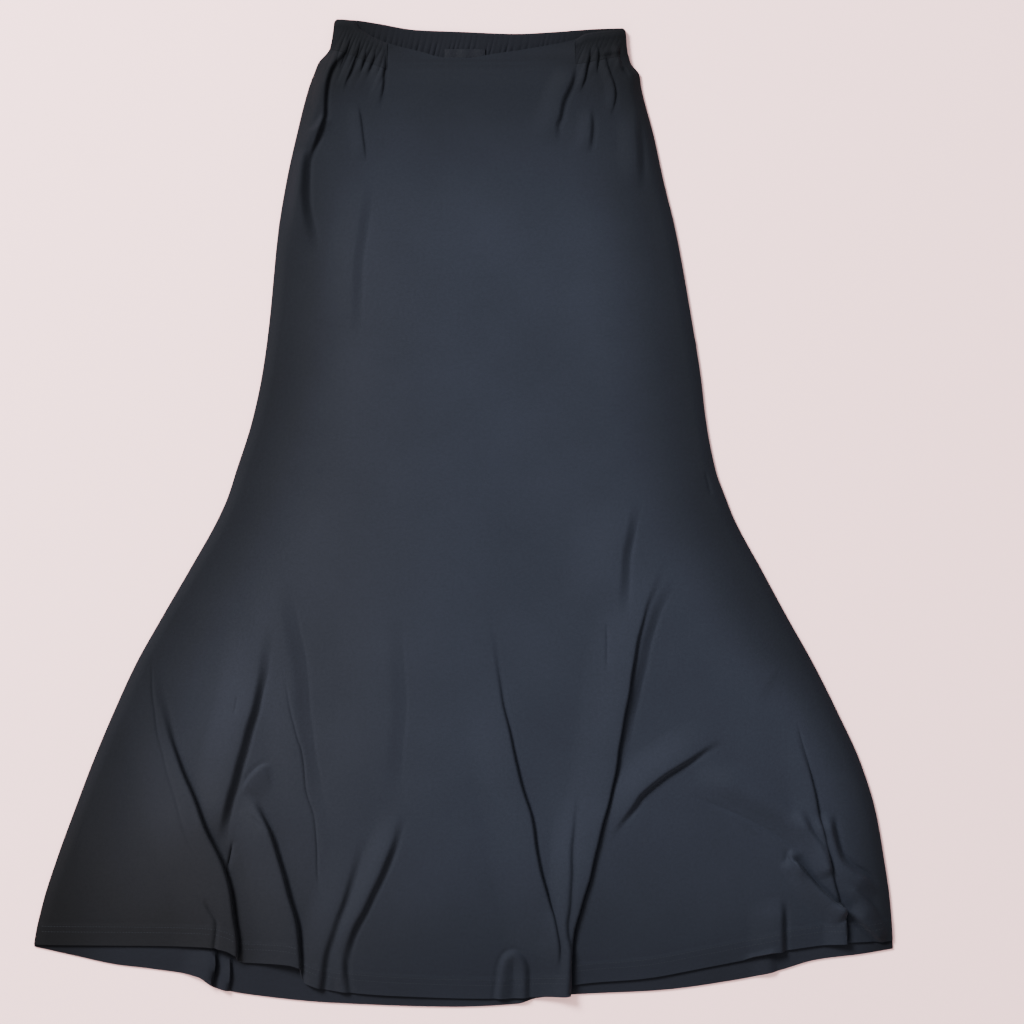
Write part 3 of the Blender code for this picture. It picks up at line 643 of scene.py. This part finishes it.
def gathered(x, down):  # how far the elastic's gathers lift the cloth, round the casings' feet
    lean = x + gathers["lean"] * down
    uneven = 0.7 + 0.3 * np.sin(x / 5.1 + 1.0) * np.sin(x / 8.3 + down / 17.0)
    leftOnly = 1 - smooth((x - casing["leftEnd"]) / gathers["endFade"] + 0.9)
    rightOnly = smooth((x - casing["rightEnd"]) / gathers["endFade"] + 0.1)
    fineCrests = puckers(lean, gathers["fine"]) - gathers["level"]
    wideCrests = puckers(lean, gathers["wide"]) - gathers["level"]
    lift = np.zeros(x.shape)
    for foot, only, share in (
        (leftFoot, leftOnly, 1.0), (rightFoot, rightOnly, gathers["rightHeight"]),
    ):
        below = down - edgeAt(foot, x)
        fine = np.exp(-((below + gathers["fineAbove"]) / gathers["fineSpread"]) ** 2)
        fine = fine * gathers["fineHeight"]
        wide = smooth((below + gathers["wideAbove"]) / gathers["wideFadeIn"])
        wide = wide * np.exp(-np.maximum(below - gathers["wideBelow"], 0) / gathers["wideFadeOut"])
        wide = wide * gathers["wideHeight"]
        lift += only * share * (fine * fineCrests + wide * wideCrests)
    return lift * uneven


def turnedUp(piece, down, hem):  # the step where the turned-up hem lies underneath
    fromTurn = down - hem + piece["hemTurn"] + piece["hemStepWidth"]
    return piece["hemStep"] * smooth(fromTurn / piece["hemStepWidth"])


def frontSurface(x, down, hem):  # inner face of the front at a place on the uncreased cloth
    left, right = side(down, "left"), side(down, "right")
    fromSide = np.minimum(x - left, right - x)
    held = smooth(fromSide / front["heldWidth"])
    lift, pushX, pushDown = folded(folds + fineFolds, x, down)

    slope = front["sideSlope"] + front["middleSlope"] * held
    overBack = 1 - smooth((down - front["casingFoot"]) / slope)
    rest = front["clearance"] + (casing["backTop"] - front["backHeight"]) * overBack
    sewn = front["sideDrop"] * (1 - smooth(fromSide / front["dropWidth"]))
    sewn = sewn * smooth((down - front["dropDown"]) / front["dropFade"])
    tip = smooth((down - front["tipDown"]) / front["tipFade"])
    rest = rest - sewn * (1 - front["tipLess"] * tip)  # down on the back, seam by seam

    atHem = smooth((hem - down) / front["hemLoftWidth"])
    atHem = front["hemLoft"] + (1 - front["hemLoft"]) * atHem
    loft = side(down, "loft") * rolled(fromSide) * atHem
    belowWaist = smooth((down - front["rippleDown"]) / front["rippleFade"])
    loft = loft + front["ripple"] * ripple(x, down) * held * belowWaist
    z = np.maximum(loft + (lift + gathered(x, down)) * held, 0.0) + turnedUp(front, down, hem)
    return x + pushX * held, down + pushDown * held, rest + z


def rowSpread(v):  # more rows at the waist and in the flare, fewer over the plain hips
    return np.interp(v, (0.0, 0.16, 0.30, 1.0), (0.0, 0.13, 0.45, 1.0))


frontCloth, u, v = makeGrid("front_cloth", front["columns"], front["rows"])
x, down, hem = panelPoints(u, rowSpread(v), frontTop, frontHem)
setWeave(frontCloth, x, down, *paintedLightAt(x, down))
placePoints(frontCloth, *frontSurface(x, down, hem))
giveWall(frontCloth, front["thickness"], front["facesKept"])
shadeRound(frontCloth)
frontCloth.data.materials.append(crepe("front crepe", front))
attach(frontCloth, "root")
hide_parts("front_panel")
print("front:", len(frontCloth.data.polygons), "faces")

# The back, flat on the surface, its inner side showing below the front's hem
back = {
    "columns": 260, "rows": 200, "facesKept": 0.18, "thickness": 1.2,
    "hemTurn": 21.0, "hemStep": 0.3, "hemStepWidth": 1.5, "casingGap": 0.05,
    "paintedShare": 0.3,  # how much of the front's painted corner shade and painted warm light it shows
    "color": (0.0108, 0.0126, 0.0186), "dark": (0.0068, 0.0080, 0.0120),
    "roughness": 0.8, "sheen": 0.025,
}


def backTop(x):
    return edgeAt(backWaist, x) + casing["deep"] + back["casingGap"]


def backSurface(x, down, hem):
    lift, pushX, pushDown = folded(backFolds, x, down)
    return x + pushX, down + pushDown, np.maximum(lift, 0.0) + turnedUp(back, down, hem)


backCloth, u, v = makeGrid("back_cloth", back["columns"], back["rows"])
x, down, hem = panelPoints(u, rowSpread(v), backTop, backHem)
setWeave(backCloth, x, down, *paintedLightAt(x, down, back["paintedShare"]))
placePoints(backCloth, *backSurface(x, down, hem))
giveWall(backCloth, back["thickness"], back["facesKept"])
shadeRound(backCloth)
backCloth.data.materials.append(crepe("back crepe", back))
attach(backCloth, "root")
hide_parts("back_panel")
print("back:", len(backCloth.data.polygons), "faces")

# Elastic casings: puckered cloth over a flat band
casingCloth = crepe("casing crepe", casing)


def casingPoints(u, v, start, stop, top, foot, corner):
    down = np.full(u.shape, casing["deep"])
    for _ in range(casing["passes"]):
        left = side(down, "left") if start is None else start
        right = side(down, "right") if stop is None else stop
        depth = np.maximum(corner - (down - top(left * (1 - u) + right * u)), 0.0)
        inset = corner - np.sqrt(np.maximum(corner ** 2 - depth ** 2, 0.0))  # a rounded corner
        left = left + inset if start is None else left
        right = right - inset if stop is None else right
        x = left * (1 - u) + right * u
        down = top(x) * (1 - v) + foot(x) * v
    return x, down


def makeFrontCasing(name, node, start, stop, foot, corner):
    cloth, u, v = makeGrid(name, casing["columns"], casing["rows"])
    x, down = casingPoints(u, v, start, stop, lambda x: edgeAt(frontWaist, x),
                           lambda x: edgeAt(foot, x), corner)
    placedX, placedDown, z = frontSurface(x, down, edgeAt(frontHem, x))
    fromTop = down - edgeAt(frontWaist, x)
    z = z + front["thickness"] - casing["frontThickness"]
    z = z + casing["welt"] * np.exp(-((fromTop - casing["weltDown"]) / casing["weltWidth"]) ** 2)
    z = z - casing["topDrop"] * (1 - smooth(fromTop / casing["topWidth"]))
    z = np.maximum(z, casing["backTop"] + casing["over"])
    setWeave(cloth, x * casing["fullness"], down, *paintedLightAt(x, down))
    placePoints(cloth, placedX, placedDown, z)
    giveWall(cloth, casing["frontThickness"])
    shadeRound(cloth)
    cloth.data.materials.append(casingCloth)
    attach(cloth, "root")
    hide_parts(node)
    return cloth


leftBand = makeFrontCasing("casing_left", "front_casing_left", None,
                           casing["leftEnd"] - casing["endGap"], leftFoot, casing["leftCorner"])
rightBand = makeFrontCasing("casing_right", "front_casing_right",
                            casing["rightEnd"] + casing["endGap"], None, rightFoot,
                            casing["rightCorner"])

inside = {
    "columns": 560, "rows": 60, "thickness": 1.1, "corner": 4.0,
    "pitch": 5.6, "height": 1.0, "lean": 0.25,
    "leastDepth": 0.22, "deepFrom": 0.25, "deepOver": 0.4,  # shares of the casing's depth
    "shallowFrom": 0.85, "shallowOver": 0.15,
    "topDrop": 0.5, "topWidth": 2.5,
    "color": (0.0098, 0.0113, 0.0172), "dark": (0.0054, 0.0064, 0.0100),
    "roughness": 0.8, "sheen": 0.02,
}
backBand, u, v = makeGrid("casing_back", inside["columns"], inside["rows"])
x, down = casingPoints(u, v, None, None, lambda x: edgeAt(backWaist, x),
                       lambda x: edgeAt(backWaist, x) + casing["deep"], inside["corner"])
uneven = 0.5 + 0.3 * np.sin(x / 11.0 + 0.6) * np.sin(x / 4.3) + 0.2 * np.sin(x / 2.9 + down / 6.0)
deep = smooth((v - inside["deepFrom"]) / inside["deepOver"])
shallow = smooth((v - inside["shallowFrom"]) / inside["shallowOver"])
deep = (1 - inside["leastDepth"]) * deep * (1 - shallow)
crests = puckers(x + inside["lean"] * down, inside["pitch"])
furrows = inside["height"] * (1 - crests) * (inside["leastDepth"] + deep) * uneven
z = casing["backTop"] - inside["thickness"] - furrows
z = z - inside["topDrop"] * (1 - smooth(v * casing["deep"] / inside["topWidth"]))
setWeave(backBand, x * casing["fullness"], down, *paintedLightAt(x, down))
placePoints(backBand, x, down, z)
giveWall(backBand, inside["thickness"])
shadeRound(backBand)
backBand.data.materials.append(crepe("casing inside", inside))
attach(backBand, "root")
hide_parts("back_waist_casing")
print("casings done")

# A bare woven label in the back of the waist
label = {
    "columns": 60, "rows": 30, "width": 42.0, "height": 22.0, "x": 1.5, "top": 31.0,
    "thickness": 0.7, "rise": 0.4, "bow": 0.25, "buckle": 0.12, "paintedShade": 0.42,
    "color": (0.0060, 0.0073, 0.0132), "dark": (0.00420, 0.00511, 0.00924),
    "roughness": 0.55, "sheen": 0.04,
}
labelCloth, u, v = makeGrid("label_cloth", label["columns"], label["rows"])
x = label["x"] + (u - 0.5) * label["width"]
down = label["top"] + v * label["height"]
z = casing["backTop"] + label["rise"] + label["bow"] * np.sin(math.pi * u)
z = z + label["buckle"] * np.sin(5 * math.pi * u)
# painted shade: the label is darkened by the same amount as the waist's painted shade
setWeave(labelCloth, x, down, np.full(x.shape, label["paintedShade"]), np.zeros(x.shape))
placePoints(labelCloth, x, down, z)
giveWall(labelCloth, label["thickness"])
shadeRound(labelCloth)
labelCloth.data.materials.append(crepe("label satin", label))
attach(labelCloth, "root")
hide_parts("label")
print("label done")

# Twin rows of stitches round the front's hem
stitches = {
    "length": 2.3, "pitch": 3.1, "width": 0.40, "height": 0.30, "rows": (14.0, 19.6),
    "sides": 6, "rings": 5, "left": -438.0, "right": 436.0, "samples": 4000, "clear": 0.05,
    "leastGap": 0.4, "mostGap": 2.2,  # in pitches; no stitch where the cloth jumps in a fold
    "color": (0.0112, 0.0132, 0.0178), "darker": 0.7, "lighter": 1.3,
    "twist": 1800.0, "roughness": 0.7, "shine": 0.15,
}


def makeStitch():
    clearSelection()
    bpy.ops.mesh.primitive_uv_sphere_add(
        segments=stitches["sides"], ring_count=stitches["rings"], radius=0.5)
    one = bpy.context.active_object
    points = np.array([corner.co for corner in one.data.vertices])
    faces = [tuple(face.vertices) for face in one.data.polygons]
    bpy.data.objects.remove(one)
    return points, faces


def stitchAlong(name, places, ups, material):
    # one stitch between each two places, joined in one mesh
    shape, faces = makeStitch()
    allPoints, allFaces = [], []
    for start, stop, up in zip(places, places[1:], ups):
        middle, run = (start + stop) / 2, stop - start
        gap = np.linalg.norm(run)
        pitches = gap / stitches["pitch"]
        if pitches > stitches["mostGap"] or pitches < stitches["leastGap"]:
            continue
        run = run / gap
        wide = np.cross(up, run)
        wide = wide / np.linalg.norm(wide)
        tall = np.cross(run, wide)
        size = (stitches["length"] * gap / stitches["pitch"], stitches["width"], stitches["height"])
        moved = middle + shape @ np.diag(size) @ np.array([run, wide, tall])
        base = len(allPoints) * len(shape)
        allPoints.append(moved)
        allFaces.extend(tuple(base + i for i in face) for face in faces)
    mesh = bpy.data.meshes.new(name)
    mesh.from_pydata(np.concatenate(allPoints) * mm, [], allFaces)
    mesh.update()
    row = bpy.data.objects.new(name, mesh)
    bpy.context.scene.collection.objects.link(row)
    mesh.shade_smooth()
    mesh.materials.append(material)
    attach(row, "root")
    return row


def onFront(x, rise):  # places on the front's face at a height above its hem
    hem = edgeAt(frontHem, x)
    placedX, placedDown, z = frontSurface(x, hem - rise, hem)
    return np.stack([placedX, middleDown - placedDown, z], axis=1)


def hemStitches(name, rise):
    dense = np.linspace(stitches["left"], stitches["right"], stitches["samples"])
    line = onFront(dense, rise)
    run = np.concatenate([[0], np.cumsum(np.linalg.norm(np.diff(line, axis=0), axis=1))])
    wanted = np.arange(0, run[-1], stitches["pitch"])
    xs = np.interp(wanted, run, dense)
    here = onFront(xs, rise)
    towardsWaist = onFront(xs, rise + 1.0) - here
    along = np.gradient(here, axis=0)
    ups = np.cross(along, towardsWaist)
    ups = ups / np.linalg.norm(ups, axis=1)[:, None]
    return stitchAlong(name, here + ups * (front["thickness"] + stitches["clear"]), ups,
                       hemThread)


hemThread = thread("hem thread", stitches)
hemRows = [hemStitches("hem_stitches_" + which, rise)
           for which, rise in zip(("lower", "upper"), stitches["rows"])]
print("stitches:", sum(len(row.data.polygons) for row in hemRows), "faces")

# A plain pale floor
floor = {"size": 9.0, "z": -0.0006, "color": (0.98, 0.61, 0.61), "darker": 0.985, "grain": 14.0,
         "roughness": 0.9}
clearSelection()
bpy.ops.mesh.primitive_plane_add(size=floor["size"], location=(0, 0, floor["z"]))
ground = bpy.context.active_object
ground.name = "floor"
paper = bpy.data.materials.new("floor paper")
paper.use_nodes = True
tree = paper.node_tree
shader = tree.nodes["Principled BSDF"]
grain = addNode(tree, "ShaderNodeTexNoise", Scale=floor["grain"], Detail=3.0)
coords = addNode(tree, "ShaderNodeTexCoord")
tree.links.new(coords.outputs["Object"], grain.inputs["Vector"])
tone = addNode(tree, "ShaderNodeValToRGB")
tone.color_ramp.elements[0].color = (*[c * floor["darker"] for c in floor["color"]], 1)
tone.color_ramp.elements[1].color = (*floor["color"], 1)
tree.links.new(grain.outputs[0], tone.inputs[0])
tree.links.new(tone.outputs[0], shader.inputs["Base Color"])
shader.inputs["Roughness"].default_value = floor["roughness"]
ground.data.materials.append(paper)

# Soft studio light: a large key from the upper left, a weak warm fill from the lower left
lights = {
    "key": {"energy": 760.0, "size": 1.5, "place": (-2.4, 2.5, 2.8), "color": (0.97, 0.985, 1.0)},
    "fill": {"energy": 70.0, "size": 2.0, "place": (-1.9, -2.6, 2.4), "color": (1.0, 0.84, 0.72)},
}
for name, values in lights.items():
    lamp = bpy.data.lights.new(name, "AREA")
    lamp.energy = values["energy"]
    lamp.size = values["size"]
    lamp.color = values["color"]
    holder = bpy.data.objects.new(name, lamp)
    bpy.context.scene.collection.objects.link(holder)
    holder.location = values["place"]
    holder.rotation_euler = (-Vector(values["place"])).to_track_quat("-Z", "Y").to_euler()
sky = {"color": (1.0, 0.97, 0.97), "strength": 1.1}
world = bpy.data.worlds.new("studio")
bpy.context.scene.world = world
world.use_nodes = True
world.node_tree.nodes["Background"].inputs["Color"].default_value = (*sky["color"], 1)
world.node_tree.nodes["Background"].inputs["Strength"].default_value = sky["strength"]

# Straight above the skirt, as in the photo
view = {"centre": (0.0504, 0.0013), "height": 2.2, "covers": 1.065, "sensor": 36.0}
lens = bpy.data.cameras.new("camera")
lens.sensor_width = view["sensor"]
lens.lens = lens.sensor_width * view["height"] / view["covers"]
camera = bpy.data.objects.new("camera", lens)
bpy.context.scene.collection.objects.link(camera)
camera.location = (*view["centre"], view["height"])
bpy.context.scene.camera = camera
